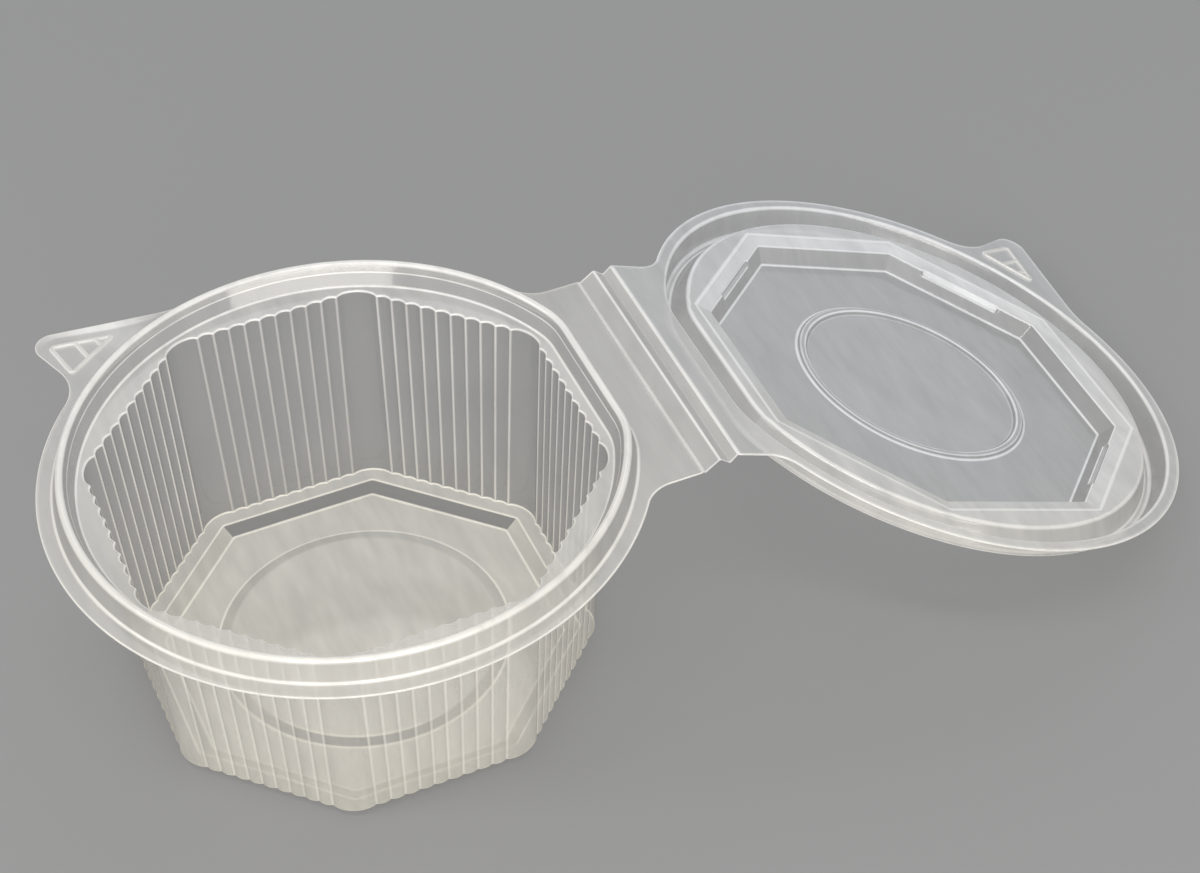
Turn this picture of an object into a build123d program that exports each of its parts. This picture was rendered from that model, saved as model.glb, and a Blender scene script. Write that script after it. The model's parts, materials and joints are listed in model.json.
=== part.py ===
from build123d import *
from math import acos, asin, atan2, cos, degrees, dist, hypot, radians, sin, tan
import os

# A round food tub with an attached lid, thermoformed in one piece from clear sheet.
# It stands open: the tub is upright and the lid has dropped until its rim rests on the
# table. The origin is the middle of the tub's foot, +Z is up and +X points to the hinge.
# Heights and radii are those of the food side of the sheet, unless a comment says more.

# Sheet
sheet = 0.45
hinge_sheet = 0.35

# Rim, shared by the tub and the lid: a circle with a flat on the hinge side
flange_radius = 66.0
flange_width = 3.6
flat_depth = 2.8
rim_corner_radius = 22.0
weld = 0.6

# Tub
flange_height = 54.8
bead_height = 5.6
bead_outer_run = 1.3
bead_crest = 1.3
bead_inner_run = 2.3
ledge_rise = 0.4
ledge_width = 2.3
wall_draft = 3.6
wall_corner_radius = 12.0
flute_count = 8
rib_depth = 0.8
rib_width = 1.6
plain_corner = 7.0
step_width = 3.7
step_run = 3.3
step_height = 1.65
floor_corner_radius = 5.0
foot_width = 8.7
push_up_run = 2.7
push_up_height = 0.85

# Lid, whose depths count from the food side of its flange
seat_gap = 0.3
bead_clearance = 0.5
bead_headroom = 0.8
channel_outer_run = 1.6
channel_foot = 1.5
channel_inner_run = 2.5
ring_width = 3.2
ring_depth = 0.8
shoulder_run = 3.7
shoulder_depth = 1.6
recess_run = 2.7
panel_depth = 5.3
recess_corner_radius = 4.0
notch_count = 4
notch_length = 23.0
notch_shelf_depth = 2.7
notch_reach = 0.3
panel_ring_radius = 27.3
panel_ring_foot = 2.8
panel_ring_crest = 1.2
panel_ring_height = 0.8

# Hinge
tub_apron = 2.5
lid_apron = 2.4
hinge_run = 4.0
hinge_rise = 2.0
hinge_half_length = 34.0
hinge_fillet = 8.0
fold_radius = 0.3
fold_gap = 0.2
tub_crease_run = 0.5
tub_crease_drop = 0.5
lid_valley_run = 2.9
lid_valley_drop = 0.9

# Opening tabs, one on each rim
tub_tab_angle = 126.5
lid_tab_angle = 220.5
tab_length = 12.5
tab_tip_radius = 4.1
tab_notch_radius = 11.0
tab_notch_run = 14.4
tab_root_run = 24.2
tab_root_fillet = 25.0
grip_width = 0.8
grip_height = 0.35
grip_margin = 3.6
grip_tip_inset = 1.8
grip_tip_run = 1.7
grip_short_run = 4.6
grip_long_run = 7.5
grip_bar_shares = (0.4, 0.72)

facets = 8
facet_turn = 360 / facets
half_facet = radians(facet_turn / 2)


def corner_shift(run, rise):
    """How far out the outer face of the sheet lies where a slope meets a flat."""
    return sheet * tan(atan2(rise, run) / 2)


# Heights of the tub's faces above the table
floor_level = sheet
step_level = floor_level + step_height
ledge_level = flange_height + ledge_rise
hinge_level = flange_height + hinge_rise

# The bead stands on the tub's flange, and the lid's channel drops over it
bead_top = flange_height + bead_height
bead_foot_radius = flange_radius - flange_width
crest_outer_radius = bead_foot_radius - bead_outer_run
crest_inner_radius = crest_outer_radius - bead_crest
ledge_radius = crest_inner_radius - bead_inner_run
channel_depth = bead_height + bead_headroom - seat_gap
channel_mouth_radius = bead_foot_radius + bead_clearance
channel_outer_radius = channel_mouth_radius - channel_outer_run
channel_inner_radius = channel_outer_radius - channel_foot
ring_radius = channel_inner_radius - channel_inner_run

# The tub's octagons narrow from the ledge inside the bead down to the floor
wall_top_apothem = ledge_radius - flat_depth - ledge_width
wall_foot_apothem = wall_top_apothem - wall_draft
step_apothem = wall_foot_apothem - step_width
floor_apothem = step_apothem - step_run
push_up_foot_radius = floor_apothem - foot_width
push_up_radius = push_up_foot_radius - push_up_run

# The lid's octagons narrow from the ring inside the channel down to the panel
recess_apothem = ring_radius - flat_depth - ring_width
shoulder_apothem = recess_apothem - shoulder_run
panel_apothem = shoulder_apothem - recess_run
notch_back_apothem = shoulder_apothem + notch_reach

# The aprons, the hinge and the tabs lie outside the flange
tub_crease_reach = flange_radius + tub_apron
lid_crease_reach = flange_radius + lid_apron
hinge_reach = tub_crease_reach + hinge_run
tab_tip_reach = flange_radius + tab_length

# Runs along the flange's edge as angles
tab_notch_turn = degrees(tab_notch_run / flange_radius)
tab_root_turn = degrees(tab_root_run / flange_radius)
grip_tip_turn = degrees(grip_tip_run / flange_radius)
grip_short_turn = degrees(grip_short_run / flange_radius)
grip_long_turn = degrees(grip_long_run / flange_radius)

# The open lid turns about the fold until the outer foot of its channel meets the table
edge_reach = hinge_reach + channel_outer_radius + corner_shift(channel_outer_run, channel_depth)
fold_depth = hinge_rise - seat_gap
edge_depth = channel_depth + sheet - fold_depth
lid_droop = asin(hinge_level / hypot(edge_reach, edge_depth)) - atan2(edge_depth, edge_reach)
lid_outwards = Vector(cos(lid_droop), 0, -sin(lid_droop))
lid_up = Vector(sin(lid_droop), 0, cos(lid_droop))
fold_point = Vector(hinge_reach, 0, hinge_level)

# Each half has a plane with x towards the hinge and z out of the food side of its flange
table = Plane.XY
tub_flange = table.offset(flange_height)
lid_flange = Plane(
    origin=fold_point + lid_outwards * hinge_reach + lid_up * fold_depth,
    x_dir=-lid_outwards,
    z_dir=lid_up,
)


def radial_plane(base):
    """The upright plane through the middle of the hinge side, x outwards and y upwards."""
    return Plane(origin=base.origin, x_dir=base.x_dir, z_dir=-base.y_dir)


def draw_rim(radius):
    """Draws the rim at one radius: an arc, closed by the flat with rounded corners."""
    half_angle = degrees(acos(1 - flat_depth / radius))
    arc = CenterArc((0, 0), radius, half_angle, 360 - 2 * half_angle)
    Line(arc @ 1, arc @ 0)
    fillet(vertices(), radius=rim_corner_radius + radius - bead_foot_radius)


def rim_plate(base, radius):
    """A flat sheet within the rim's outline, its food side on the base plane."""
    with BuildSketch(base) as plate:
        with BuildLine():
            draw_rim(radius)
        make_face()
    extrude(plate.sketch, amount=-sheet)


def swept_rim(base, surface):
    """The folded band of the rim, from points of radius and height on its food side."""
    with BuildSketch(radial_plane(base)) as band:
        with BuildLine():
            food_side = Polyline(*[(radius - flat_depth, height) for radius, height in surface])
            offset(food_side, amount=sheet, side=Side.RIGHT, kind=Kind.INTERSECTION)
        make_face()
    with BuildLine(base) as path:
        draw_rim(bead_foot_radius)
    sweep(band.sketch, path=path.wire())


def on_facet(facet, apothem, along):
    """A point on one facet of an octagon, measured from the middle of that facet."""
    turn = 2 * half_facet * facet
    return (apothem * cos(turn) - along * sin(turn), apothem * sin(turn) + along * cos(turn))


def fluted_section(plane, apothem):
    """The tub wall's section: on each facet flat flutes lie between ribs that point inwards."""
    half_side = apothem * tan(half_facet)
    corner_start = half_side - wall_corner_radius * tan(half_facet)
    ribbed_half = half_side - plain_corner
    pitch = 2 * ribbed_half / flute_count
    with BuildSketch(plane) as section:
        with BuildLine():
            for facet in range(facets):
                after_corner = on_facet(facet, apothem, -corner_start)
                points = [after_corner]
                for rib in range(flute_count + 1):
                    along = -ribbed_half + rib * pitch
                    points.append(on_facet(facet, apothem, along - rib_width / 2))
                    points.append(on_facet(facet, apothem - rib_depth, along))
                    points.append(on_facet(facet, apothem, along + rib_width / 2))
                points.append(on_facet(facet, apothem, corner_start))
                side = Polyline(*points)
                next_start = on_facet(facet + 1, apothem, -corner_start)
                TangentArc(side @ 1, next_start, tangent=side % 1)
        make_face()
    return section.sketch


def octagon_section(plane, apothem, corner_radius):
    """An octagon with one facet square to the hinge and rounded corners."""
    with BuildSketch(plane) as section:
        RegularPolygon(apothem, facets, major_radius=False, rotation=facet_turn / 2)
        fillet(section.vertices(), radius=corner_radius)
    return section.sketch


def tangent_point(start, centre, radius, side):
    """Where a straight line from a start point touches a circle, on one side of it."""
    reach = dist(start, centre)
    bearing = atan2(centre[1] - start[1], centre[0] - start[0])
    turn = bearing + side * asin(radius / reach)
    run = (reach**2 - radius**2) ** 0.5
    return (start[0] + run * cos(turn), start[1] + run * sin(turn))


def polar(radius, angle):
    return (radius * cos(radians(angle)), radius * sin(radians(angle)))


def tab_face(angle):
    """A fin with one straight edge, a round tip and a hollow edge that runs into the rim."""
    tip = polar(tab_tip_reach, angle)
    hollow = polar(flange_radius + tab_notch_radius, angle + tab_notch_turn)
    root = polar(flange_radius, angle - tab_root_turn)
    edge_end = tangent_point(root, tip, tab_tip_radius, -1)
    spread = dist(tip, hollow)
    bearing = atan2(hollow[1] - tip[1], hollow[0] - tip[0])
    cross = bearing - acos((tab_tip_radius + tab_notch_radius) / spread)
    tip_end = (tip[0] + tab_tip_radius * cos(cross), tip[1] + tab_tip_radius * sin(cross))
    hollow_start = (hollow[0] - tab_notch_radius * cos(cross), hollow[1] - tab_notch_radius * sin(cross))
    hollow_end = polar(flange_radius, angle + tab_notch_turn)
    inside = polar(flange_radius - tab_tip_radius, angle)
    with BuildLine() as fin:
        edge = Line(root, edge_end)
        TangentArc(edge_end, tip_end, tangent=edge % 1)
        short_side = Line(tip_end, hollow_start)
        TangentArc(hollow_start, hollow_end, tangent=short_side % 1)
        Polyline(hollow_end, inside, root)
    make_face(fin.edges())


def grip_frame(base, angle):
    """A raised triangle with two cross bars, pressed into the tab for grip."""
    outer = polar(tab_tip_reach - grip_tip_inset, angle + grip_tip_turn)
    near = polar(flange_radius + grip_margin, angle + grip_short_turn)
    far = polar(flange_radius + grip_margin, angle - grip_long_turn)
    with BuildSketch(base) as frame:
        with BuildLine() as middle:
            long_side = Line(far, outer)
            Line(outer, near)
            base_side = Line(near, far)
        make_face(middle.edges())
        offset(amount=grip_width / 2)
        offset(amount=-grip_width, mode=Mode.SUBTRACT)
        with BuildLine() as bars:
            for share in grip_bar_shares:
                Line(base_side @ share, long_side @ (1 - share))
        trace(bars.edges(), line_width=grip_width)
    extrude(frame.sketch, amount=grip_height)


def flange_plate(base, inner_radius, crease_reach, tab_angle):
    """The flat outer band, with the apron that runs to the hinge and the opening tab."""
    root = polar(flange_radius, tab_angle - tab_root_turn)
    with BuildSketch(base) as plate:
        Circle(flange_radius)
        with Locations((crease_reach, 0)):
            Rectangle(crease_reach, 2 * hinge_half_length, align=(Align.MAX, Align.CENTER))
        fillet(plate.vertices().group_by(Axis.X)[-2], radius=hinge_fillet)
        tab_face(tab_angle)
        fillet(plate.vertices().sort_by_distance(root)[0], radius=tab_root_fillet)
        with BuildLine():
            draw_rim(inner_radius)
        make_face(mode=Mode.SUBTRACT)
    extrude(plate.sketch, amount=-sheet)


def hinge_strip(base, points):
    """A thin strip along the hinge, from the points of its middle line."""
    with BuildSketch(radial_plane(base)) as strip:
        with BuildLine():
            Polyline(*points)
        trace(line_width=hinge_sheet)
    extrude(strip.sketch, amount=hinge_half_length, both=True)


wall_skin = corner_shift(wall_top_apothem - wall_foot_apothem, ledge_level - step_level)
step_skin = corner_shift(step_apothem - floor_apothem, step_height)

with BuildPart() as tub:
    swept_rim(
        table,
        [
            (ledge_radius - weld, ledge_level),
            (ledge_radius, ledge_level),
            (crest_inner_radius, bead_top),
            (crest_outer_radius, bead_top),
            (bead_foot_radius, flange_height),
            (bead_foot_radius + weld, flange_height),
        ],
    )
    flange_plate(tub_flange, bead_foot_radius + weld / 2, tub_crease_reach, tub_tab_angle)
    rim_plate(table.offset(ledge_level), ledge_radius - weld / 2)

    # Outer faces of the wall, the step and the floor
    wall_top = fluted_section(table.offset(ledge_level - sheet), wall_top_apothem + wall_skin)
    wall_foot = fluted_section(table.offset(step_level - sheet), wall_foot_apothem + wall_skin)
    loft([wall_top, wall_foot], ruled=True)
    step = octagon_section(table.offset(step_level - sheet), step_apothem + step_skin, floor_corner_radius)
    foot = octagon_section(table, floor_apothem + step_skin, floor_corner_radius)
    loft([step, foot], ruled=True)

    # The space inside
    wall_top = fluted_section(table.offset(ledge_level), wall_top_apothem)
    wall_foot = fluted_section(table.offset(step_level), wall_foot_apothem)
    loft([wall_top, wall_foot], ruled=True, mode=Mode.SUBTRACT)
    step = octagon_section(table.offset(step_level), step_apothem, floor_corner_radius)
    floor = octagon_section(table.offset(floor_level), floor_apothem, floor_corner_radius)
    loft([step, floor], ruled=True, mode=Mode.SUBTRACT)

    # The floor's middle is pushed up, so that the tub stands on a ring
    for level, mode in ((floor_level, Mode.ADD), (0, Mode.SUBTRACT)):
        with Locations((0, 0, level)):
            Cone(
                push_up_foot_radius,
                push_up_radius,
                push_up_height,
                align=(Align.CENTER, Align.CENTER, Align.MIN),
                mode=mode,
            )

    grip_frame(tub_flange, tub_tab_angle)
    flange_middle = flange_height - sheet / 2
    hinge_strip(
        table,
        [
            (tub_crease_reach - weld, flange_middle),
            (tub_crease_reach, flange_middle),
            (tub_crease_reach + tub_crease_run, flange_middle - tub_crease_drop),
            (hinge_reach, hinge_level),
        ],
    )
    with BuildSketch(radial_plane(table)):
        with Locations((hinge_reach, hinge_level)):
            Circle(fold_radius)
    extrude(amount=hinge_half_length, both=True)

tub.part.label = "tub"

recess_skin = corner_shift(shoulder_apothem - panel_apothem, panel_depth - shoulder_depth)
slope_skin = corner_shift(recess_apothem - shoulder_apothem, shoulder_depth - ring_depth)

with BuildPart() as lid:
    swept_rim(
        lid_flange,
        [
            (ring_radius - weld, -ring_depth),
            (ring_radius, -ring_depth),
            (channel_inner_radius, -channel_depth),
            (channel_outer_radius, -channel_depth),
            (channel_mouth_radius, 0),
            (channel_mouth_radius + weld, 0),
        ],
    )
    flange_plate(lid_flange, channel_mouth_radius + weld / 2, lid_crease_reach, lid_tab_angle)
    rim_plate(lid_flange.offset(-ring_depth), ring_radius - weld / 2)

    # Outer faces of the recess, with the blocks that its notches are cut into
    under_mouth = octagon_section(
        lid_flange.offset(-ring_depth - sheet), recess_apothem + slope_skin, recess_corner_radius
    )
    under_shoulder = octagon_section(
        lid_flange.offset(-shoulder_depth - sheet), shoulder_apothem + recess_skin, recess_corner_radius
    )
    under_panel = octagon_section(
        lid_flange.offset(-panel_depth - sheet), panel_apothem + recess_skin, recess_corner_radius
    )
    loft([under_mouth, under_shoulder, under_panel], ruled=True)
    block_height = notch_shelf_depth + sheet - shoulder_depth
    with BuildSketch(lid_flange.offset(-shoulder_depth)):
        with PolarLocations(notch_back_apothem + sheet, notch_count, start_angle=facet_turn):
            Rectangle(shoulder_run, notch_length + 2 * sheet, align=(Align.MAX, Align.CENTER))
    extrude(amount=-block_height)

    # The space inside the recess and its notches
    mouth = octagon_section(lid_flange.offset(-ring_depth), recess_apothem, recess_corner_radius)
    shoulder = octagon_section(lid_flange.offset(-shoulder_depth), shoulder_apothem, recess_corner_radius)
    panel = octagon_section(lid_flange.offset(-panel_depth), panel_apothem, recess_corner_radius)
    loft([mouth, shoulder, panel], ruled=True, mode=Mode.SUBTRACT)
    with BuildSketch(lid_flange.offset(-notch_shelf_depth)):
        with PolarLocations(notch_back_apothem, notch_count, start_angle=facet_turn):
            Rectangle(shoulder_run, notch_length, align=(Align.MAX, Align.CENTER))
    extrude(amount=notch_shelf_depth - ring_depth, mode=Mode.SUBTRACT)

    # A round rib on the panel, hollow on its outer side
    for depth, mode in ((panel_depth, Mode.ADD), (panel_depth + sheet, Mode.SUBTRACT)):
        with BuildSketch(radial_plane(lid_flange)):
            with Locations((panel_ring_radius, -depth)):
                Trapezoid(
                    panel_ring_foot,
                    panel_ring_height,
                    degrees(atan2(panel_ring_height, (panel_ring_foot - panel_ring_crest) / 2)),
                    align=(Align.CENTER, Align.MIN),
                )
        revolve(axis=Axis(lid_flange.origin, lid_flange.z_dir), mode=mode)

    grip_frame(lid_flange, lid_tab_angle)
    valley = (hinge_reach - lid_valley_run, -fold_depth - lid_valley_drop)
    valley_share = (fold_radius + fold_gap) / hypot(lid_valley_run, lid_valley_drop)
    hinge_strip(
        lid_flange,
        [
            (lid_crease_reach - weld, -sheet / 2),
            (lid_crease_reach, -sheet / 2),
            valley,
            (hinge_reach - valley_share * lid_valley_run, -fold_depth - valley_share * lid_valley_drop),
        ],
    )

lid.part.label = "lid"

os.makedirs("parts", exist_ok=True)
export_step(tub.part, "parts/tub.step")
export_step(lid.part, "parts/lid.step")

print("hinge axis at", round(hinge_reach, 3), 0, round(hinge_level, 3))
print("lid closes through", round(180 + degrees(lid_droop), 3), "degrees about -Y")
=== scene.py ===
import json
from math import acos, asin, atan2, cos, degrees, dist, pi, radians, sin, sqrt, tan

import bpy
import numpy as np
from mathutils import Matrix, Vector


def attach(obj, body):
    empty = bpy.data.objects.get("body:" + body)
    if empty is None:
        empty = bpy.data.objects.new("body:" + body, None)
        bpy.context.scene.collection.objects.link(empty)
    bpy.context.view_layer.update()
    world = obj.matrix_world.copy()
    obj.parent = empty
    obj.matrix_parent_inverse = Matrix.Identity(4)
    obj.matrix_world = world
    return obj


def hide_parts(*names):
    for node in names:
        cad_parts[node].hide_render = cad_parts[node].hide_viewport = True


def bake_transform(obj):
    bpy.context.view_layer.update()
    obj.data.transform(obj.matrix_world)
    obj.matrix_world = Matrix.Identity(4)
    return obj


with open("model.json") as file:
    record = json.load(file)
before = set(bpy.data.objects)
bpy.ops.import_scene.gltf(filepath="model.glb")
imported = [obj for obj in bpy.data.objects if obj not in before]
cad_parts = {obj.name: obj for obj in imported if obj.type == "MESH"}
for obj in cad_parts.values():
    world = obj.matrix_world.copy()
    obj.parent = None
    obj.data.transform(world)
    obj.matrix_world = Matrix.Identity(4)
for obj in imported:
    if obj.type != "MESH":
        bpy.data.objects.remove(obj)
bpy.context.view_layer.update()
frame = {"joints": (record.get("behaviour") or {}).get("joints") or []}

# A round food tub with an attached lid, formed from one clear sheet, on a plain floor.
# Sizes are in millimetres, as in the part's own source; meshes are written in metres.
MM = 0.001

# Sheet, and the last ring of points before the middle of each half
sheet = 0.45
middle_ring_radius = 1

# Rim, with the strip that is folded under its edge and the white lip on its edge, a painted
# highlight
flange_radius = 66.0
flange_width = 3.6
flat_depth = 2.8
rim_corner_radius = 22.0
edge_fold = 0.6
lip_width = 0.9
lip_fade = 0.9

# Tub
flange_height = 54.8
bead_height = 5.6
bead_outer_run = 1.3
bead_crest = 1.3
bead_inner_run = 2.3
ledge_rise = 0.4
ledge_width = 2.3
wall_draft = 3.6
wall_corner_radius = 8.0
flute_count = 9
rib_depth = 0.8
rib_foot_depth = 0.5
rib_tip_start = 0.84
rib_highlight_start = 0.78
rib_highlight_fade = 0.14
plain_corner = 5.2
step_width = 3.7
step_run = 3.3
step_height = 1.65
floor_corner_radius = 1.5
foot_width = 8.7
push_up_run = 2.7
push_up_height = 0.85
push_up_rim = 1.5
tub_inner_ring_radius = 15

# Lid
seat_gap = 0.3
bead_clearance = 0.5
bead_headroom = 0.8
channel_outer_run = 1.6
channel_foot = 1.5
channel_inner_run = 2.5
ring_width = 3.2
ring_depth = 0.8
shoulder_run = 3.7
shoulder_depth = 1.6
below_shoulder = 0.6
recess_run = 2.7
panel_depth = 5.3
recess_corner_radius = 1.0
notch_length = 23.0
notch_end_run = 0.5
notch_lip = 0.08
notch_shelf_depth = 2.7
notch_reach = 0.3
panel_ring_radius = 27.3
panel_ring_foot = 2.8
panel_ring_crest = 1.2
panel_ring_height = 0.8
lid_inner_ring_radius = 13

# Hinge
tub_apron = 2.5
lid_apron = 2.4
hinge_run = 4.0
hinge_rise = 2.0
hinge_half_length = 34.0
hinge_fillet = 8.0
tub_crease_run = 0.5
tub_crease_drop = 0.5
lid_valley_run = 2.9
lid_valley_drop = 0.9
web_overlap = 0.02
tub_web_flat = 0.2
lid_web_flat = 0.25
web_end_width = 0.5
web_end_step = 0.1

# Opening tabs
tub_tab_angle = 126.5
lid_tab_angle = 220.5
tab_length = 12.5
tab_tip_radius = 4.1
tab_notch_radius = 11.0
tab_notch_run = 14.4
tab_root_run = 24.2
tab_root_fillet = 25.0
grip_width = 1.3
grip_height = 0.35
tub_grip_margin = 3.5
lid_grip_margin = 2.2
grip_reach = 9.3
grip_tip_run = 0.7
grip_short_run = 4.8
grip_long_run = 9.0
grip_bar_shares = (0.4, 0.72)
grip_corner_run = 1.3

# Facets are counted from the hinge side on, anticlockwise from above with the lid open
facets = 8
half_facet = pi / facets

# How milky and how warm the sheet is was set after the photograph. Some of it changes
# towards the side that was nearest to the photograph's camera, some is set for single facets,
# and a white band lies on the flange by the tub's tab. These are painted light and shade: the
# near side's extra milk and warmth and the warmth low on the tub's wall are painted light, the
# whiter ribs and notch of single facets are painted highlights, the clear step facets are
# painted shade, and the band by the tab is a painted reflection.
near_side = radians(-112)
rib_painted_highlights = (0.85, 0.65, 0.5, 0.95, 0.8, 0.65, 0.65, 0.75)
painted_shade_step_facets = (1, 2)
highlit_notch_facet = 5
tab_band_shift = 8
tab_band_spread = 9
tab_band_width = 1.6
painted_warmth_depth = 35
painted_warmth_run = 18
painted_lid_warmth_radius = 44
painted_lid_warmth_run = 8
web_warmth = 0.4
grip_warmth = 0.35

# Rounded folds
fold_steps = 6
longest_bend = 0.48

# Rim of the tub, its octagons from the ledge down, and the rim of the lid and its octagons
bead_foot_radius = flange_radius - flange_width
crest_outer_radius = bead_foot_radius - bead_outer_run
crest_inner_radius = crest_outer_radius - bead_crest
ledge_radius = crest_inner_radius - bead_inner_run
wall_top_apothem = ledge_radius - flat_depth - ledge_width
wall_foot_apothem = wall_top_apothem - wall_draft
step_apothem = wall_foot_apothem - step_width
floor_apothem = step_apothem - step_run
push_up_foot_radius = floor_apothem - foot_width
push_up_radius = push_up_foot_radius - push_up_run
channel_depth = bead_height + bead_headroom - seat_gap
channel_mouth_radius = bead_foot_radius + bead_clearance
channel_outer_radius = channel_mouth_radius - channel_outer_run
channel_inner_radius = channel_outer_radius - channel_foot
ring_radius = channel_inner_radius - channel_inner_run
recess_apothem = ring_radius - flat_depth - ring_width
shoulder_apothem = recess_apothem - shoulder_run
panel_apothem = shoulder_apothem - recess_run
notch_back_apothem = shoulder_apothem + notch_reach
notch_half = notch_length / 2
tub_crease_reach = flange_radius + tub_apron
lid_crease_reach = flange_radius + lid_apron
hinge_reach = tub_crease_reach + hinge_run
tab_tip_reach = flange_radius + tab_length

# Runs along the flange's edge as angles
tab_notch_turn = degrees(tab_notch_run / flange_radius)
tab_root_turn = degrees(tab_root_run / flange_radius)
grip_tip_turn = degrees(grip_tip_run / flange_radius)
grip_short_turn = degrees(grip_short_run / flange_radius)
grip_long_turn = degrees(grip_long_run / flange_radius)

# The lid's plane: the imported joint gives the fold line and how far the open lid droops
joint = frame["joints"][0]
fold_point = Vector(joint["pos_m"]) / MM
lid_droop = radians(joint["range_deg"][1] - 180)
lid_outwards = Vector((cos(lid_droop), 0, -sin(lid_droop)))
lid_up = Vector((sin(lid_droop), 0, cos(lid_droop)))
lid_origin = fold_point + lid_outwards * hinge_reach + lid_up * (hinge_rise - seat_gap)
lid_axes = Matrix((-lid_outwards, (0, -1, 0), lid_up)).transposed()
lid_place = Matrix.Translation(lid_origin) @ lid_axes.to_4x4()
tub_place = Matrix.Translation((0, 0, flange_height))


def polar(radius, angle):
    """A point at a radius and an angle in degrees."""
    return np.array((radius * cos(radians(angle)), radius * sin(radians(angle))))


# Outlines

def rim_radii(radius, directions):
    """How far the rim of one radius reaches: a circle with a flat on the hinge side."""
    corner_reach = bead_foot_radius - rim_corner_radius
    corner_x = corner_reach - flat_depth
    corner_y = sqrt(corner_reach**2 - corner_x**2)
    corner_radius = radius - corner_reach
    turn = np.abs((directions + pi) % (2 * pi) - pi)
    towards = corner_x * np.cos(turn) + corner_y * np.sin(turn)
    inside = np.maximum(towards**2 - corner_reach**2 + corner_radius**2, 0)
    on_corner = towards + np.sqrt(inside)
    on_flat = (radius - flat_depth) / np.maximum(np.cos(turn), 0.1)
    radii = np.where(turn > atan2(corner_y, corner_x), radius, on_corner)
    return np.where(on_flat * np.sin(turn) < corner_y, np.where(turn < 1, on_flat, radii), radii)


def arc_points(centre, radius, start, end, count=10):
    turns = np.linspace(start, end, count)
    return np.stack((centre[0] + radius * np.cos(turns), centre[1] + radius * np.sin(turns)), 1)


def tab_outline(angle):
    """The fin's outline, from the root of its straight edge to the end of its hollow edge."""
    tip = polar(tab_tip_reach, angle)
    hollow = polar(flange_radius + tab_notch_radius, angle + tab_notch_turn)
    root = polar(flange_radius, angle - tab_root_turn)
    reach = dist(root, tip)
    bearing = atan2(*(tip - root)[::-1])
    edge_turn = bearing - asin(tab_tip_radius / reach)
    spread = dist(tip, hollow)
    cross = atan2(*(hollow - tip)[::-1]) - acos((tab_tip_radius + tab_notch_radius) / spread)
    tip_start = edge_turn - pi / 2
    tip_turn = (cross - edge_turn + pi / 2) % (2 * pi)
    tip_arc = arc_points(tip, tab_tip_radius, tip_start, tip_start + tip_turn, 14)
    hollow_end = atan2(*(-hollow)[::-1])
    hollow_turn = (hollow_end - cross - pi) % (2 * pi) - 2 * pi
    hollow_arc = arc_points(hollow, tab_notch_radius, cross + pi, cross + pi + hollow_turn, 14)

    # The straight edge leaves the flange in a hollow curve that touches both
    edge = np.array((cos(edge_turn), sin(edge_turn)))
    outwards = np.array((edge[1], -edge[0]))
    offset = root @ outwards + tab_root_fillet
    along = sqrt((flange_radius + tab_root_fillet) ** 2 - offset**2)
    bends = (offset * outwards - along * edge, offset * outwards + along * edge)
    bend = min(bends, key=lambda point: dist(point, root))
    start = atan2(*(-bend)[::-1])
    end = atan2(*(-outwards)[::-1])
    turn = (end - start + pi) % (2 * pi) - pi
    root_arc = arc_points(bend, tab_root_fillet, start, start + turn, 14)
    return np.concatenate((root_arc, tip_arc, hollow_arc))


def apron_outline(crease_reach):
    """The apron's outline on the hinge side, with hollow corners where it meets the flange."""
    corner_y = hinge_half_length + hinge_fillet
    corner_x = sqrt((flange_radius + hinge_fillet) ** 2 - corner_y**2)
    start = atan2(-corner_y, -corner_x)
    upper = arc_points((corner_x, corner_y), hinge_fillet, start, -pi / 2)
    side = np.array(((crease_reach, hinge_half_length), (crease_reach, -hinge_half_length)))
    return np.concatenate((upper, side, upper[::-1] * (1, -1)))


def outline_radii(outlines, directions):
    """How far the flange reaches in each direction, as a circle with the given outlines added."""
    radii = np.full(len(directions), float(flange_radius))
    rays = np.stack((np.cos(directions), np.sin(directions)), 1)
    for points in outlines:
        for a, b in zip(points[:-1], points[1:]):
            side = b - a
            cross = rays[:, 0] * side[1] - rays[:, 1] * side[0]
            cross = np.where(np.abs(cross) < 1e-9, 1e-9, cross)
            reach = (a[0] * side[1] - a[1] * side[0]) / cross
            share = (a[0] * rays[:, 1] - a[1] * rays[:, 0]) / cross
            hit = (share >= -1e-6) & (share <= 1 + 1e-6) & (reach > 0)
            radii = np.where(hit, np.maximum(radii, reach), radii)
    return radii


# Columns run down the sheet from the flange to the middle. Each has a facet of the octagon and
# a distance from the middle of that facet, measured at the top of the tub's wall.

half_top = wall_top_apothem * tan(half_facet)
corner_top = half_top - wall_corner_radius * tan(half_facet)
ribbed_top = half_top - plain_corner
pitch_top = 2 * ribbed_top / flute_count
corner_margin = 0.02
corner_columns = list(np.linspace(corner_top + corner_margin, half_top, 5))


def ribbed_columns():
    """Columns of a facet of the tub, closest together at its ribs."""
    flute_steps = (0, 0.05, 0.12, 0.24, 0.5, 0.76, 0.88, 0.95)
    along = [
        -ribbed_top + pitch_top * (flute + step)
        for flute in range(flute_count)
        for step in flute_steps
    ]
    flank = [ribbed_top + pitch_top * step for step in flute_steps[:5]]
    mirrored = [-x for x in reversed(flank[1:] + corner_columns[:-1])]
    return np.array(mirrored + along + flank + corner_columns)


def plain_columns():
    """Columns of a facet of the lid, which has no ribs, with close ones at a notch's ends."""
    inside = list(np.linspace(0, notch_half - notch_end_run / 2, 9))
    outside = list(np.linspace(notch_half + 1, corner_top, 6))
    half = inside + [notch_half + notch_end_run / 2] + outside + corner_columns
    return np.array([-x for x in reversed(half[1:-1])] + half)


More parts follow.
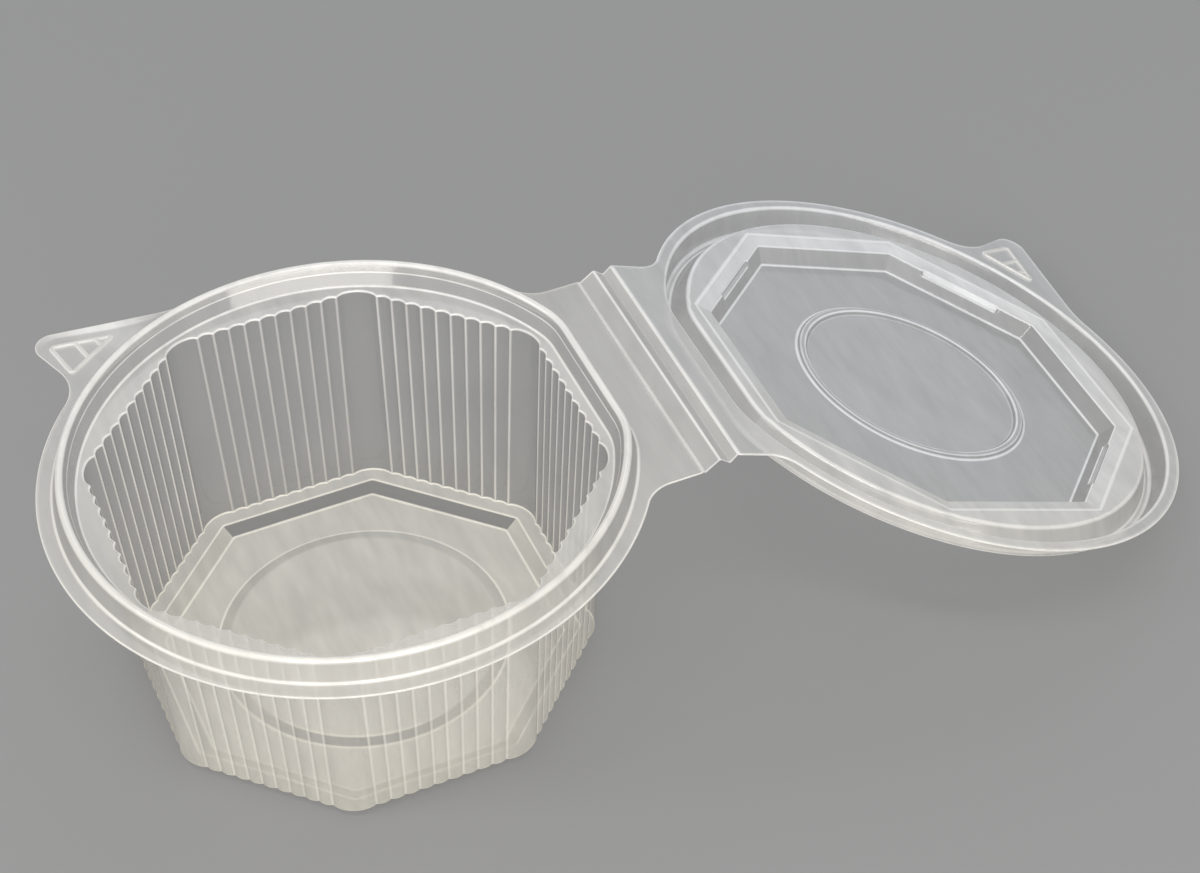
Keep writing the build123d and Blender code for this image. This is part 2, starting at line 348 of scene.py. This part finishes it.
def rib_closeness(along):
    """1 on the line of a rib, falling evenly to 0 in the middle of a flute."""
    phase = ((along + ribbed_top) / pitch_top) % 1
    return np.abs(2 * phase - 1)


def octagon_points(facet, along, apothem, corner_radius, flute_depth):
    """Points of an octagon with rounded corners, its sides pressed into flutes of one depth."""
    half_side = apothem * tan(half_facet)
    corner_start = half_side - corner_radius * tan(half_facet)
    ribbed_half = half_side - plain_corner
    size = np.abs(along)
    reaches = (0, ribbed_half, corner_start, half_side)
    out = np.interp(size, (0, ribbed_top, corner_top, half_top), reaches)
    turn = np.clip((size - corner_top) / (half_top - corner_top), 0, 1) * half_facet
    on_corner = size > corner_top
    normal = np.where(on_corner, apothem - corner_radius + corner_radius * np.cos(turn), apothem)
    out = np.where(on_corner, corner_start + corner_radius * np.sin(turn), out)
    closeness = rib_closeness(along)
    tip = np.clip((closeness - rib_tip_start) / (1 - rib_tip_start), 0, 1)
    depth = closeness**2 - (1 - rib_tip_start) * tip**2
    fluted = size <= ribbed_top + pitch_top / 2 + 1e-6
    normal = normal - np.where(fluted, flute_depth * depth, 0)
    out = out * np.sign(along)
    turn = 2 * half_facet * facet
    x = normal * np.cos(turn) - out * np.sin(turn)
    y = normal * np.sin(turn) + out * np.cos(turn)
    return np.stack((x, y), 1)


def rib_tips(along):
    """1 on the tip of a rib, falling to 0 beside it."""
    fluted = np.abs(along) <= ribbed_top + pitch_top / 2
    tip = np.clip((rib_closeness(along) - rib_highlight_start) / rib_highlight_fade, 0, 1)
    return np.where(fluted, tip, 0)


def all_columns(one, extra_directions):
    """Facet, distance along it and direction of every column, with some directions added."""
    facet = np.repeat(np.arange(facets), len(one))
    along = np.tile(one, facets)
    points = octagon_points(facet, along, wall_top_apothem, wall_corner_radius, 0)
    direction = np.unwrap(np.arctan2(points[:, 1], points[:, 0]))
    place = facet * 2 * half_top + along
    extra = (np.array(extra_directions) - direction[0]) % (2 * pi) + direction[0]
    closest = radians(0.1)
    kept = list(direction)
    for one_more in extra:
        if one_more < direction[-1] and np.abs(np.array(kept) - one_more).min() > closest:
            kept.append(one_more)
    direction_all = np.sort(kept)
    place_all = np.interp(direction_all, direction, place)
    facet_all = np.floor((place_all + half_top) / (2 * half_top) - 1e-9).astype(int)
    return facet_all, place_all - facet_all * 2 * half_top, direction_all


def raise_to(points, height):
    return np.concatenate((points, np.full((len(points), 1), float(height))), 1)


def ring(radii, directions, height):
    return raise_to(np.stack((radii * np.cos(directions), radii * np.sin(directions)), 1), height)


def edge_rows(edge, turn):
    """The start of a half's profile: the strip folded under its flange, and its lower edge."""
    return (
        (ring(edge - edge_fold, turn, -sheet), 0, 0, 0.4),
        (ring(edge, turn, -sheet), 0.12, 0.6, 0.9),
    )


def bend_point(start, corner, end, t):
    """A point of the curve that rounds a corner, from its start at t = 0 to its end at 1."""
    return (1 - t) ** 2 * start + 2 * t * (1 - t) * corner + t * t * end


def rounded_rows(profile):
    """Rows of points down a profile, with each fold rounded, and how milky each row is.

    Each entry of the profile is a ring of points, how far its fold is rounded, how white the
    fold is, and how milky the sheet is from there to the next entry. The white of a fold is a
    painted highlight, and milk that changes by side or by facet is painted light and shade."""
    rows, milk_and_painted_light = [], []
    milk_before = profile[0][3]
    for k, (here, bend, fold_highlight, milk) in enumerate(profile):
        if bend == 0:
            rows.append(here)
            milk_and_painted_light.append(milk)
        else:
            back, on = profile[k - 1][0] - here, profile[k + 1][0] - here
            back_length = np.linalg.norm(back, axis=1, keepdims=True)
            on_length = np.linalg.norm(on, axis=1, keepdims=True)
            start = here + back * np.minimum(bend / back_length, longest_bend)
            end = here + on * np.minimum(bend / on_length, longest_bend)
            for t in np.linspace(0, 1, fold_steps + 1):
                rows.append(bend_point(start, here, end, t))
                ridge = min(1, 2 * (1 - abs(2 * t - 1)))
                milk_and_painted_light.append(np.maximum(milk_before * (1 - t) + milk * t, fold_highlight * ridge))
        milk_before = milk
    return rows, milk_and_painted_light


def add_object(name, data):
    added = bpy.data.objects.new(name, data)
    bpy.context.collection.objects.link(added)
    return added


def keep_on_vertices(mesh, milk_and_painted_light, warmth_and_painted_light):
    """Store milkiness and warmth, painted light included, on each vertex for its material to read.
    """
    for title, values in (("milk_and_painted_light", milk_and_painted_light), ("warmth_and_painted_light", warmth_and_painted_light)):
        layer = mesh.attributes.new(title, "FLOAT", "POINT")
        layer.data.foreach_set("value", values.astype(np.float32))


def make_sheet(name, rows, milk_and_painted_light, place, closed=True, pole=None, warmth_and_painted_light=None):
    """A mesh of quads through rows of points, its milkiness and painted light kept on its
    vertices.
    """
    count = len(rows[0])
    points = np.concatenate(rows)
    milk = np.concatenate([np.broadcast_to(m, count) for m in milk_and_painted_light])
    warm = np.full(len(points), web_warmth) if warmth_and_painted_light is None else np.concatenate(warmth_and_painted_light)
    faces = []
    for r in range(len(rows) - 1):
        for c in range(count if closed else count - 1):
            d = (c + 1) % count
            faces.append((r * count + c, r * count + d, (r + 1) * count + d, (r + 1) * count + c))
    if pole is not None:
        points = np.concatenate((points, [pole]))
        milk = np.append(milk, milk[-1])
        warm = np.append(warm, warm[-1])
        last = (len(rows) - 1) * count
        faces += [(last + c, last + (c + 1) % count, len(points) - 1) for c in range(count)]
    mesh = bpy.data.meshes.new(name)
    mesh.from_pydata([tuple((place @ Vector(p)) * MM) for p in points], [], faces)
    mesh.shade_smooth()
    keep_on_vertices(mesh, milk, warm)
    piece = add_object(name, mesh)
    normals = piece.modifiers.new("Even normals", "WEIGHTED_NORMAL")
    normals.mode = "FACE_AREA"
    return piece


def tub_shell():
    """The deep half as one sheet, from the flange's edge down to the middle of the floor."""
    tab = tab_outline(tub_tab_angle)
    apron = apron_outline(tub_crease_reach)
    extra = [atan2(y, x) for x, y in np.concatenate((tab, apron))]
    facet, along, turn = all_columns(ribbed_columns(), extra)
    ribs = rib_tips(along)
    edge = outline_radii((tab, apron), turn)
    floor_level = sheet - flange_height
    step_level = floor_level + step_height
    push_up_level = floor_level + push_up_height

    # A faint line on the bead's inner side, a painted highlight, and a place low on the wall from
    # where it is milkier, which is painted light
    snap_share = 0.4
    snap_radius = crest_inner_radius + snap_share * (ledge_radius - crest_inner_radius)
    snap_height = bead_height + snap_share * (ledge_rise - bead_height)
    low_share = 0.8
    low_apothem = wall_top_apothem + low_share * (wall_foot_apothem - wall_top_apothem)
    low_level = ledge_rise + low_share * (step_level - ledge_rise)
    low_rib_depth = rib_depth + low_share * (rib_foot_depth - rib_depth)

    def wall(apothem, height, depth=rib_depth):
        return raise_to(octagon_points(facet, along, apothem, wall_corner_radius, depth), height)

    def octagon(apothem, height):
        return raise_to(octagon_points(facet, along, apothem, floor_corner_radius, 0), height)

    def rim(radius, height):
        return ring(rim_radii(radius, turn), turn, height)

    def circle(radius, height):
        return ring(radius, turn, height)

    # 1 on the side that was nearest to the photograph's camera, and 0 opposite
    front = 0.5 + 0.5 * np.cos(turn - near_side)
    # Milk and whites that follow this side are painted light and shade: the near side gets more
    # milk and a whiter push-up fold, and less milk on its ledge, wall foot and push-up
    wall_milk_and_painted_light = 0.05 + 0.15 * front**1.5
    low_wall_milk_and_painted_light = wall_milk_and_painted_light + 0.08 + 0.08 * front**2
    rib_painted_highlight = np.array(rib_painted_highlights)[facet % facets]
    flange_milk_and_painted_light = 0.3 + 0.12 * front**2
    bead_milk_and_painted_light = 0.28 + 0.08 * front
    ledge_milk_and_painted_shade = 0.5 - 0.18 * front**4
    # The clear step on two facets is painted shade
    step_milk_and_painted_shade = np.where(np.isin(facet, painted_shade_step_facets), 0.05, 0.6)
    wall_foot_milk_and_painted_shade = 0.5 - 0.2 * front**4
    push_up_milk_and_painted_shade = 0.58 - 0.5 * front**8
    push_up_painted_highlight = 0.3 + 0.7 * front**4
    # The white band on the flange by the tub's tab is a painted reflection
    from_band = (turn - radians(tub_tab_angle - tab_band_shift) + pi) % (2 * pi) - pi
    tab_reflection_band = np.exp(-((from_band / radians(tab_band_spread)) ** 2))
    flange_milk_and_painted_light = np.maximum(flange_milk_and_painted_light, 0.5 * tab_reflection_band)
    lip_milk_and_painted_light = np.maximum(flange_milk_and_painted_light, tab_reflection_band)
    lip_reach = edge - (lip_width + tab_band_width * tab_reflection_band)
    profile = (
        *edge_rows(edge, turn),
        (ring(edge, turn, 0), 0.4, 1.0, lip_milk_and_painted_light),
        (ring(lip_reach, turn, 0), 0, 0, lip_milk_and_painted_light),
        (ring(lip_reach - lip_fade, turn, 0), 0, 0, flange_milk_and_painted_light),
        (rim(bead_foot_radius, 0), 0.7, 1.0, bead_milk_and_painted_light),
        (rim(crest_outer_radius, bead_height), 1.2, 1.0, 1.0),
        (rim(crest_inner_radius, bead_height), 0.9, 1.0, 0.2),
        (rim(snap_radius, snap_height), 0.25, 0.8, 0.25),
        (rim(ledge_radius, ledge_rise), 0.5, 1.0, ledge_milk_and_painted_shade),
        (wall(wall_top_apothem, ledge_rise), 0.55, 1.0, wall_milk_and_painted_light),
        (wall(low_apothem, low_level, low_rib_depth), 0, 0, low_wall_milk_and_painted_light),
        (wall(wall_foot_apothem, step_level, rib_foot_depth), 0.45, 1.0, wall_foot_milk_and_painted_shade),
        (octagon(step_apothem, step_level), 0.4, 1.0, step_milk_and_painted_shade),
        (octagon(floor_apothem, floor_level), 0.5, 1.0, 0.6),
        (circle(push_up_foot_radius, floor_level), 0.5, 1.0, push_up_milk_and_painted_shade),
        (circle(push_up_radius, push_up_level), 0.5, push_up_painted_highlight, 0.6),
        (circle(push_up_radius - push_up_rim, push_up_level), 0, 0, 0.6),
        (circle(tub_inner_ring_radius, push_up_level), 0, 0, 0.58),
        (circle(middle_ring_radius, push_up_level), 0, 0, 0.58),
    )
    rows, milk_and_painted_light = rounded_rows(profile)

    # Ribs are whitened all the way down the wall, a painted highlight, and the wall is warmer low
    # down, which is painted warm light
    shades, warmth_and_painted_light = [], []
    wall_margin = 0.2
    ledge_margin = 0.6
    for row, milk in zip(rows, milk_and_painted_light):
        height = row[:, 2]
        on_wall = (height < ledge_rise - wall_margin) & (height > step_level + wall_margin)
        inside = np.hypot(row[:, 0], row[:, 1]) < ledge_radius - ledge_margin
        shades.append(np.maximum(milk, np.where(on_wall & inside, rib_painted_highlight * ribs, 0)))
        low = np.clip((-height - painted_warmth_depth) / painted_warmth_run, 0, 1)
        warmth_and_painted_light.append(0.35 + 0.25 * front + 0.4 * low)
    pole = (0, 0, push_up_level)
    shell = make_sheet("tub_shell", rows, shades, tub_place, pole=pole, warmth_and_painted_light=warmth_and_painted_light)
    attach(shell, "tub")
    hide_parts("tub")
    return shell


def lid_shell():
    """The shallow half as one sheet, from the flange's edge in to the middle of its panel."""
    tab = tab_outline(lid_tab_angle)
    apron = apron_outline(lid_crease_reach)
    extra = [atan2(y, x) for x, y in np.concatenate((tab, apron))]
    facet, along, turn = all_columns(plain_columns(), extra)
    edge = outline_radii((tab, apron), turn)
    diagonal = facet % 2 == 1
    from_end = notch_half + notch_end_run / 2 - np.abs(along)
    notched = np.clip(from_end / notch_end_run, 0, 1) * diagonal

    def octagon(apothem, height):
        return raise_to(octagon_points(facet, along, apothem, recess_corner_radius, 0), height)

    def rim(radius, height):
        return ring(rim_radii(radius, turn), turn, height)

    def circle(radius, height):
        return ring(radius, turn, height)

    def with_notch(plain, notch):
        share = notched[:, None]
        return plain * (1 - share) + notch * share

    def on_wall(depth):
        share = (depth - shoulder_depth) / (panel_depth - shoulder_depth)
        return octagon(shoulder_apothem + share * (panel_apothem - shoulder_apothem), -depth)

    # Between its ends a notch takes the shoulder's edge and the wall below it back to its own
    notch_top = octagon(notch_back_apothem, -shoulder_depth + notch_lip)
    notch_foot = octagon(notch_back_apothem, -notch_shelf_depth)
    shoulder_edge = with_notch(octagon(shoulder_apothem, -shoulder_depth), notch_top)
    wall_below = with_notch(on_wall(shoulder_depth + below_shoulder), notch_foot)
    ring_foot = panel_ring_foot / 2
    ring_crest = panel_ring_crest / 2
    ring_top = panel_ring_height - panel_depth

    # 1 on the lid's side at -Y, which was the nearer one in the photograph, and 0 opposite
    front = 0.5 + 0.5 * np.sin(turn)
    # Milk that grows with this side is painted light, and the whiter notches, most of all on one
    # facet, are painted highlights
    notch_highlight = notched * (facet % facets == highlit_notch_facet)
    notch_back_milk_and_painted_highlight = 0.3 + 0.65 * notch_highlight
    notch_shelf_milk_and_painted_highlight = 0.3 + 0.65 * notch_highlight + 0.15 * notched
    profile = (
        *edge_rows(edge, turn),
        (ring(edge, turn, 0), 0.5, 1.0, 0.65),
        (ring(edge - lip_width, turn, 0), 0, 0, 0.36 + 0.1 * front),
        (rim(channel_mouth_radius, 0), 0.8, 1.0, 0.28),
        (rim(channel_outer_radius, -channel_depth), 0.9, 1.0, 0.35 + 0.2 * front),
        (rim(channel_inner_radius, -channel_depth), 0.6, 1.0, 0.2 + 0.3 * front),
        (rim(ring_radius, -ring_depth), 0.9, 1.0, 0.5 + 0.15 * front),
        (octagon(recess_apothem, -ring_depth), 0.8, 1.0, 0.75),
        (shoulder_edge, 0.5, 1.0, notch_back_milk_and_painted_highlight),
        (wall_below, 0.15, 0, notch_shelf_milk_and_painted_highlight),
        (on_wall(notch_shelf_depth), 0.3, 0.95 * notched, 0.3),
        (octagon(panel_apothem, -panel_depth), 0.5, 1.0, 0.34),
        (circle(panel_ring_radius + ring_foot, -panel_depth), 0.5, 1.0, 0.25),
        (circle(panel_ring_radius + ring_crest, ring_top), 0.35, 0.8, 0.35),
        (circle(panel_ring_radius - ring_crest, ring_top), 0.4, 1.0, 0.25),
        (circle(panel_ring_radius - ring_foot, -panel_depth), 0.3, 0.6, 0.38),
        (circle(lid_inner_ring_radius, -panel_depth), 0, 0, 0.38),
        (circle(middle_ring_radius, -panel_depth), 0, 0, 0.38),
    )
    rows, shades = rounded_rows(profile)
    # The lid is warmer towards its outer rim on the near side, which is painted warm light
    warmth_and_painted_light = []
    for row in rows:
        outer = np.clip((np.hypot(row[:, 0], row[:, 1]) - painted_lid_warmth_radius) / painted_lid_warmth_run, 0, 1)
        warmth_and_painted_light.append(0.05 + 0.45 * front * outer)
    pole = (0, 0, -panel_depth)
    shell = make_sheet("lid_shell", rows, shades, lid_place, pole=pole, warmth_and_painted_light=warmth_and_painted_light)
    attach(shell, "lid")
    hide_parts("lid")
    return shell


def hinge_web():
    """The creased web between the two aprons, one sheet with a bend at the line where the lid
    folds.
    """
    lid_edge = lid_place @ Vector((lid_crease_reach, 0, -sheet / 2))
    valley_depth = hinge_rise - seat_gap + lid_valley_drop
    lid_valley = lid_place @ Vector((hinge_reach - lid_valley_run, 0, -valley_depth))
    profile = (
        ((tub_crease_reach - web_overlap, flange_height - sheet / 2), 0, 0, 0.9),
        ((tub_crease_reach + tub_web_flat, flange_height - sheet / 2), 0.15, 1.0, 0.9),
        ((tub_crease_reach + tub_crease_run, flange_height - tub_crease_drop), 0.2, 0.9, 0.45),
        ((fold_point.x, fold_point.z), 0.6, 1.0, 0.45),
        ((lid_valley.x, lid_valley.z), 0.5, 0, 0.5),
        ((lid_edge.x - lid_web_flat, lid_edge.z), 0.2, 1.0, 0.9),
        ((lid_edge.x + web_overlap, lid_edge.z), 0, 0, 0.9),
    )

    # The web is white along its two ends, a painted highlight
    inner_half = hinge_half_length - web_end_width
    end_columns = np.array((inner_half + web_end_step, hinge_half_length))
    across = np.linspace(-inner_half, inner_half, 60)
    across = np.concatenate((-end_columns[::-1], across, end_columns))
    painted_end_highlight = 0.9 * (np.abs(across) > inner_half)
    profile = [(np.array([(x, y, z) for y in across]), *rest) for (x, z), *rest in profile]
    rows, shades = rounded_rows(profile)
    shades = [np.maximum(painted_end_highlight, milk) for milk in shades]
    web = make_sheet("hinge_web", rows, shades, Matrix.Identity(4), closed=False)
    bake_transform(web)
    return web


def rounded_loop(corners, run):
    """Points round a closed loop of straight sides, each corner cut off by a curve."""
    points = []
    for k, here in enumerate(corners):
        back, on = corners[k - 1] - here, corners[(k + 1) % len(corners)] - here
        start, end = here + back / np.hypot(*back) * run, here + on / np.hypot(*on) * run
        points += [bend_point(start, here, end, t) for t in np.linspace(0, 1, 6)]
    return points


def grip_bars(name, angle, margin, place, body):
    """A raised triangle with two cross bars on the tab."""
    outer = polar(flange_radius + margin + grip_reach, angle + grip_tip_turn)
    near = polar(flange_radius + margin, angle + grip_short_turn)
    far = polar(flange_radius + margin, angle - grip_long_turn)
    curve = bpy.data.curves.new(name, "CURVE")
    curve.dimensions = "3D"
    curve.bevel_depth = grip_width / 2 * MM
    curve.bevel_resolution = 4
    lines = [rounded_loop((far, outer, near), grip_corner_run)]
    for share in grip_bar_shares:
        lines.append((near + (far - near) * share, far + (outer - far) * (1 - share)))
    for points in lines:
        spline = curve.splines.new("POLY")
        spline.points.add(len(points) - 1)
        for knot, (x, y) in zip(spline.points, points):
            knot.co = (*((place @ Vector((x, y, grip_height - grip_width / 2))) * MM), 1)
        spline.use_cyclic_u = len(points) > 2
    bars = add_object(name, curve)
    mesh = bpy.data.meshes.new_from_object(bars)
    bpy.data.objects.remove(bars)
    mesh.shade_smooth()

    # Each bar is white along its two sides, a painted highlight, and clearer along its top
    upright = place.inverted()
    height = np.array([(upright @ (vertex.co / MM)).z for vertex in mesh.vertices])
    keep_on_vertices(mesh, np.clip(1.3 - 2.2 * height, 0.45, 1), np.full(len(height), grip_warmth))
    piece = add_object(name, mesh)
    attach(piece, body)
    return piece


# Materials

def clear_plastic():
    """Clear, slightly milky glossy sheet, with painted highlights along its folds and ribs."""
    material = bpy.data.materials.new("clear sheet")
    material.use_nodes = True
    nodes, links = material.node_tree.nodes, material.node_tree.links
    nodes.clear()
    least_haze = 0.7
    haze_span = 0.6
    shadow_cut = 0.7
    least_mirror = 0.07
    grazing_mirror = 0.3
    most_glow = 0.38
    glow_loss = 0.22

    def node(kind, **settings):
        made = nodes.new(kind)
        for key, value in settings.items():
            setattr(made, key, value)
        return made

    def math(operation, a, b):
        made = node("ShaderNodeMath", operation=operation, use_clamp=True)
        for socket, value in zip(made.inputs, (a, b)):
            if isinstance(value, (int, float)):
                socket.default_value = value
            else:
                links.new(value, socket)
        return made.outputs[0]

    place = node("ShaderNodeTexCoord").outputs["Object"]
    wavy = node("ShaderNodeTexNoise")
    wavy.inputs["Scale"].default_value = 16
    wavy.inputs["Detail"].default_value = 2
    links.new(place, wavy.inputs["Vector"])
    bump = node("ShaderNodeBump")
    bump.inputs["Strength"].default_value = 0.1
    bump.inputs["Distance"].default_value = 0.0006
    links.new(wavy.outputs["Fac"], bump.inputs["Height"])

    milk_and_painted_light = node("ShaderNodeAttribute", attribute_name="milk_and_painted_light").outputs["Fac"]
    warmth_and_painted_light = node("ShaderNodeAttribute", attribute_name="warmth_and_painted_light").outputs["Fac"]
    cloud = node("ShaderNodeTexNoise")
    cloud.inputs["Scale"].default_value = 240
    streaks = node("ShaderNodeMapping")
    streaks.inputs["Scale"].default_value = (1, 0.25, 0.2)
    links.new(place, streaks.inputs["Vector"])
    links.new(streaks.outputs["Vector"], cloud.inputs["Vector"])
    mottled = math("ADD", math("MULTIPLY", cloud.outputs["Fac"], haze_span), least_haze)
    mottled.node.use_clamp = False
    haze = math("MULTIPLY", milk_and_painted_light, mottled)

    # Shadow rays meet less haze and no mirror, which keeps the sheet's shadow light
    shadow_ray = node("ShaderNodeLightPath").outputs["Is Shadow Ray"]
    haze = math("MULTIPLY", haze, math("SUBTRACT", 1, math("MULTIPLY", shadow_ray, shadow_cut)))

    facing = node("ShaderNodeLayerWeight")
    facing.inputs["Blend"].default_value = 0.5
    links.new(bump.outputs["Normal"], facing.inputs["Normal"])
    grazing = math("POWER", facing.outputs["Facing"], 4)
    mirror = math("ADD", least_mirror, math("MULTIPLY", grazing, grazing_mirror))
    mirror = math("MULTIPLY", mirror, math("SUBTRACT", 1, shadow_ray))

    tint = node("ShaderNodeMix", data_type="RGBA")
    links.new(facing.outputs["Facing"], tint.inputs["Factor"])
    tint.inputs["A"].default_value = (0.93, 0.93, 0.925, 1)
    tint.inputs["B"].default_value = (0.74, 0.735, 0.72, 1)
    clear = node("ShaderNodeBsdfTransparent")
    links.new(tint.outputs["Result"], clear.inputs["Color"])
    cream = node("ShaderNodeMix", data_type="RGBA")
    links.new(warmth_and_painted_light, cream.inputs["Factor"])
    cream.inputs["A"].default_value = (0.90, 0.92, 0.96, 1)
    cream.inputs["B"].default_value = (0.96, 0.92, 0.82, 1)
    milk = node("ShaderNodeBsdfDiffuse")
    links.new(cream.outputs["Result"], milk.inputs["Color"])
    glow = node("ShaderNodeBsdfTranslucent")
    links.new(cream.outputs["Result"], glow.inputs["Color"])
    milky = node("ShaderNodeMixShader")
    glow_share = math("SUBTRACT", most_glow, math("MULTIPLY", haze, glow_loss))
    links.new(glow_share, milky.inputs[0])
    links.new(milk.outputs[0], milky.inputs[1])
    links.new(glow.outputs[0], milky.inputs[2])
    body = node("ShaderNodeMixShader")
    links.new(haze, body.inputs[0])
    links.new(clear.outputs[0], body.inputs[1])
    links.new(milky.outputs[0], body.inputs[2])
    gloss = node("ShaderNodeBsdfGlossy")
    gloss.inputs["Roughness"].default_value = 0.1
    links.new(bump.outputs["Normal"], gloss.inputs["Normal"])
    surface = node("ShaderNodeMixShader")
    links.new(mirror, surface.inputs[0])
    links.new(body.outputs[0], surface.inputs[1])
    links.new(gloss.outputs[0], surface.inputs[2])
    output = node("ShaderNodeOutputMaterial")
    links.new(surface.outputs[0], output.inputs["Surface"])
    return material


def floor_material():
    material = bpy.data.materials.new("pale floor")
    material.use_nodes = True
    shader = material.node_tree.nodes["Principled BSDF"]
    shader.inputs["Base Color"].default_value = (0.325, 0.328, 0.334, 1)
    shader.inputs["Roughness"].default_value = 0.9
    shader.inputs["Specular IOR Level"].default_value = 0.1
    return material


def make_floor():
    mesh = bpy.data.meshes.new("floor")
    half = 6.0
    corners = [(-half, -half, 0), (half, -half, 0), (half, half, 0), (-half, half, 0)]
    mesh.from_pydata(corners, [], [(0, 1, 2, 3)])
    floor = add_object("floor", mesh)
    floor.data.materials.append(floor_material())


def area_light(name, position, target, size, power, colour):
    data = bpy.data.lights.new(name, "AREA")
    data.shape = "RECTANGLE"
    data.size, data.size_y = size
    data.energy = power
    data.color = colour
    light = add_object(name, data)
    light.location = position
    light.rotation_mode = "QUATERNION"
    light.rotation_quaternion = (Vector(target) - Vector(position)).to_track_quat("-Z", "Y")


def make_lights():
    world = bpy.data.worlds.new("studio")
    bpy.context.scene.world = world
    world.use_nodes = True
    background = world.node_tree.nodes["Background"]
    background.inputs["Color"].default_value = (1, 1, 1, 1)
    background.inputs["Strength"].default_value = 0.42
    middle = (0.07, 0, 0.03)
    area_light("ceiling strip", (-0.3, -0.5, 1.7), middle, (1.3, 0.25), 8, (1, 0.98, 0.95))
    area_light("back panel", (0.5, 1.0, 1.3), middle, (1.3, 0.5), 3, (1, 0.99, 0.97))
    area_light("left panel", (-1.3, 0.2, 0.9), middle, (0.5, 0.9), 4, (1, 0.98, 0.95))
    area_light("right window", (1.4, 1.2, 0.65), middle, (2.4, 1.4), 8, (0.9, 0.95, 1))
    area_light("front panel", (-0.5, -1.5, 0.7), middle, (1.6, 0.8), 8, (1, 0.97, 0.92))
    area_light("low front panel", (-0.2, -1.3, 0.25), middle, (1.6, 0.4), 9, (1, 0.96, 0.9))


def make_camera():
    """The photograph's view, found by fitting the rims and the octagon."""
    data = bpy.data.cameras.new("camera")
    data.sensor_width = 36
    data.lens = 88.33
    data.clip_start = 0.01
    camera = add_object("camera", data)
    forward = Vector((0.27580, 0.66567, -0.69341)).normalized()
    right = Vector((0.91643, -0.39973, -0.01923)).normalized()
    up = right.cross(forward)
    turn = Matrix((right, up, -forward)).transposed()
    camera.matrix_world = Matrix.Translation((-0.12215, -0.43717, 0.49474)) @ turn.to_4x4()
    bpy.context.scene.camera = camera


make_camera()
make_lights()
make_floor()
plastic = clear_plastic()
for piece in (
    tub_shell(),
    lid_shell(),
    hinge_web(),
    grip_bars("tub_grip", tub_tab_angle, tub_grip_margin, tub_place, "tub"),
    grip_bars("lid_grip", lid_tab_angle, lid_grip_margin, lid_place, "lid"),
):
    piece.data.materials.append(plastic)

scene = bpy.context.scene
scene.view_settings.view_transform = "Standard"
scene.cycles.max_bounces = 12
scene.cycles.transparent_max_bounces = 24
scene.cycles.caustics_reflective = False
scene.cycles.sample_clamp_indirect = 2
